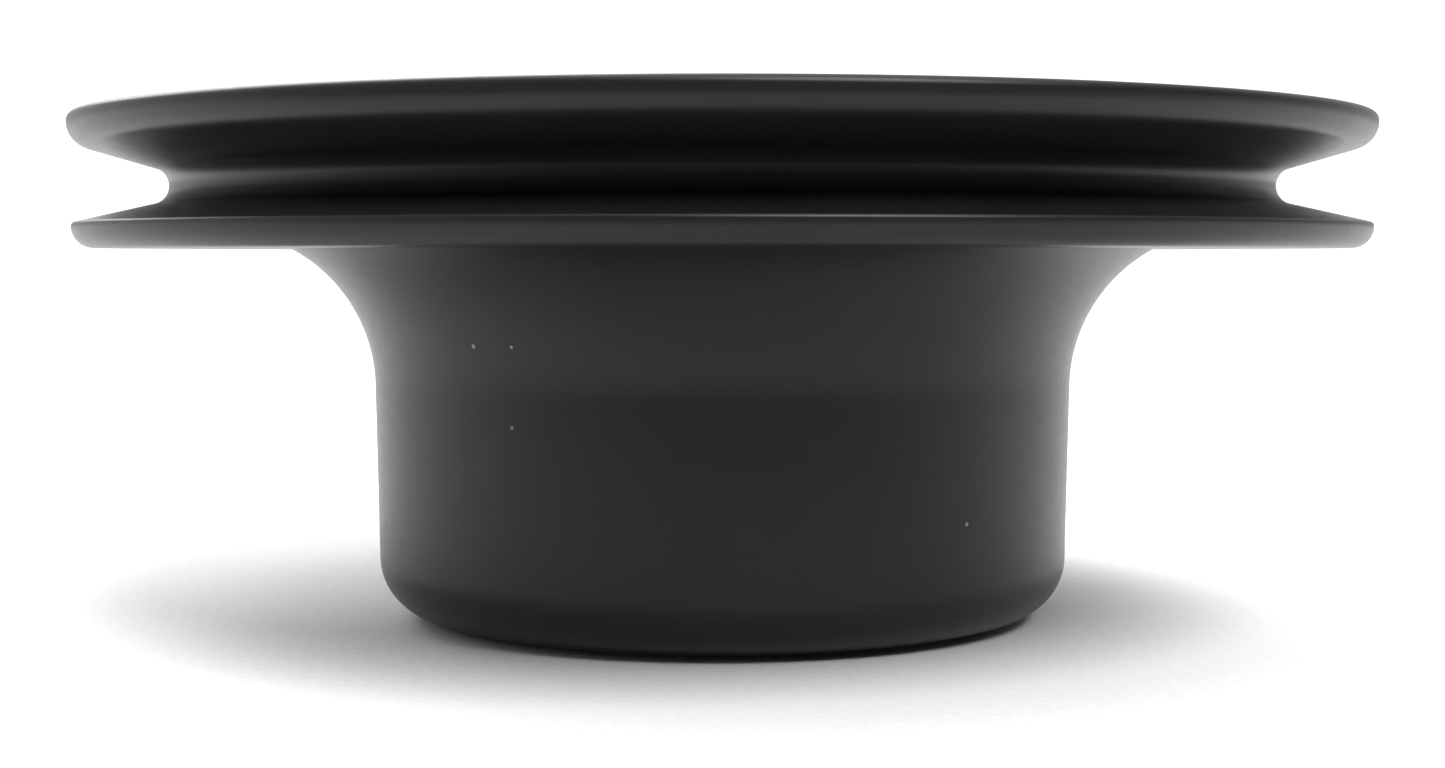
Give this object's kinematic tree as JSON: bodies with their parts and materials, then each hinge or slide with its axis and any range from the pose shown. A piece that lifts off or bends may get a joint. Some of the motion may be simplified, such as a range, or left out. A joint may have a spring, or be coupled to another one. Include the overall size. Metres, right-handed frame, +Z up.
{
  "type": "sailboat winch",
  "caption": "Self-tailing winch: smooth flared drum under a grooved rope jaw, with an eight-point handle socket on top and a gear train inside.",
  "frame": {"origin": "centre of the deck face, on the drum's axis", "axes": "+Z up along the drum's axis, +Y towards the tailing arm, +X to the right seen from the front"},
  "size_m": [0.15, 0.162, 0.064],
  "materials": {
    "black_anodised": "bead-blasted, hard anodised black, satin",
    "cast_base": "dark anodised, matte",
    "bronze": "machined gear bronze, greased",
    "bearing_nylon": "moulded acetal",
    "seal_rubber": "moulded rubber",
    "spindle_steel": "turned stainless steel",
    "steel": "stainless steel"
  },
  "bodies": {
    "base": {"base_plate": "cast_base", "center_stem": "cast_base", "stem_screws": "steel", "idler_pins": "steel", "hold_pawl_pins": "steel", "hold_pawl_springs": "steel", "lower_spindle_bush": "bronze", "upper_spindle_bush": "bronze", "sun_washer": "bearing_nylon", "drum_thrust_washer": "bearing_nylon", "bearing_spacer": "bearing_nylon", "bearing_washer": "steel", "tailing_arm": "black_anodised", "arm_screws": "steel", "line_guide": "black_anodised", "guide_screws": "steel", "top_cap": "black_anodised", "spindle_seal": "seal_rubber"},
    "drum": {"drum": "black_anodised", "lower_jaw": "black_anodised", "upper_jaw": "black_anodised", "jaw_keys": "steel", "jaw_screws": "steel", "ring_gear": "bronze", "ratchet_ring": "bronze", "ring_keys": "steel", "ring_circlip": "steel"},
    "spindle": {"spindle": "spindle_steel", "spindle_circlip": "steel", "drive_pawl_springs": "steel"},
    "sun": {"sun_gear": "bronze"},
    "idler_1": {"idler_gear_1": "bronze", "idler_bush_1": "steel"},
    "idler_2": {"idler_gear_2": "bronze", "idler_bush_2": "steel"},
    "idler_3": {"idler_gear_3": "bronze", "idler_bush_3": "steel"},
    "drive_pawl_1": {"drive_pawl_1": "steel"},
    "drive_pawl_2": {"drive_pawl_2": "steel"},
    "hold_pawl_1": {"hold_pawl_1": "steel"},
    "hold_pawl_2": {"hold_pawl_2": "steel"},
    "lower_bearing": {"lower_cage": "bearing_nylon", "lower_rollers": "steel"},
    "upper_bearing": {"upper_cage": "bearing_nylon", "upper_rollers": "steel"}
  },
  "joints": [
    {"name": "drum_spin", "type": "hinge", "parent": "base", "child": "drum", "pos_m": [0, 0, 0], "axis": [0, 0, 1], "continuous": true},
    {"name": "spindle_spin", "type": "hinge", "parent": "base", "child": "spindle", "pos_m": [0, 0, 0], "axis": [0, 0, 1], "continuous": true},
    {"name": "sun_spin", "type": "hinge", "parent": "base", "child": "sun", "pos_m": [0, 0, 0], "axis": [0, 0, 1], "continuous": true},
    {"name": "idler_1_spin", "type": "hinge", "parent": "base", "child": "idler_1", "pos_m": [0, 0.0234, 0], "axis": [0, 0, 1], "continuous": true},
    {"name": "idler_2_spin", "type": "hinge", "parent": "base", "child": "idler_2", "pos_m": [-0.02026, -0.0117, 0], "axis": [0, 0, 1], "continuous": true},
    {"name": "idler_3_spin", "type": "hinge", "parent": "base", "child": "idler_3", "pos_m": [0.02026, -0.0117, 0], "axis": [0, 0, 1], "continuous": true},
    {"name": "lower_bearing_spin", "type": "hinge", "parent": "base", "child": "lower_bearing", "pos_m": [0, 0, 0], "axis": [0, 0, 1], "continuous": true},
    {"name": "upper_bearing_spin", "type": "hinge", "parent": "base", "child": "upper_bearing", "pos_m": [0, 0, 0], "axis": [0, 0, 1], "continuous": true},
    {"name": "drive_pawl_1_tilt", "type": "hinge", "parent": "spindle", "child": "drive_pawl_1", "pos_m": [0.0068, 0, 0], "axis": [0, 0, -1], "range_deg": [0, 30], "stiffness_Nm_per_rad": 0.002, "springref_deg": 30, "deforming": ["drive_pawl_springs"]},
    {"name": "drive_pawl_2_tilt", "type": "hinge", "parent": "spindle", "child": "drive_pawl_2", "pos_m": [-0.0068, 0, 0], "axis": [0, 0, -1], "range_deg": [0, 30], "stiffness_Nm_per_rad": 0.002, "springref_deg": 30},
    {"name": "hold_pawl_1_tilt", "type": "hinge", "parent": "base", "child": "hold_pawl_1", "pos_m": [0.02416, 0.0034, 0], "axis": [0, 0, 1], "range_deg": [0, 16], "stiffness_Nm_per_rad": 0.004, "springref_deg": 16, "deforming": ["hold_pawl_springs"]},
    {"name": "hold_pawl_2_tilt", "type": "hinge", "parent": "base", "child": "hold_pawl_2", "pos_m": [-0.02416, -0.0034, 0], "axis": [0, 0, 1], "range_deg": [0, 16], "stiffness_Nm_per_rad": 0.004, "springref_deg": 16}
  ],
  "couplings": [
    {"joint": "sun_spin", "follows": "drum_spin", "ratio": -2},
    {"joint": "idler_1_spin", "follows": "drum_spin", "ratio": 4},
    {"joint": "idler_2_spin", "follows": "drum_spin", "ratio": 4},
    {"joint": "idler_3_spin", "follows": "drum_spin", "ratio": 4},
    {"joint": "lower_bearing_spin", "follows": "drum_spin", "ratio": 0.5409},
    {"joint": "upper_bearing_spin", "follows": "drum_spin", "ratio": 0.5409}
  ]
}
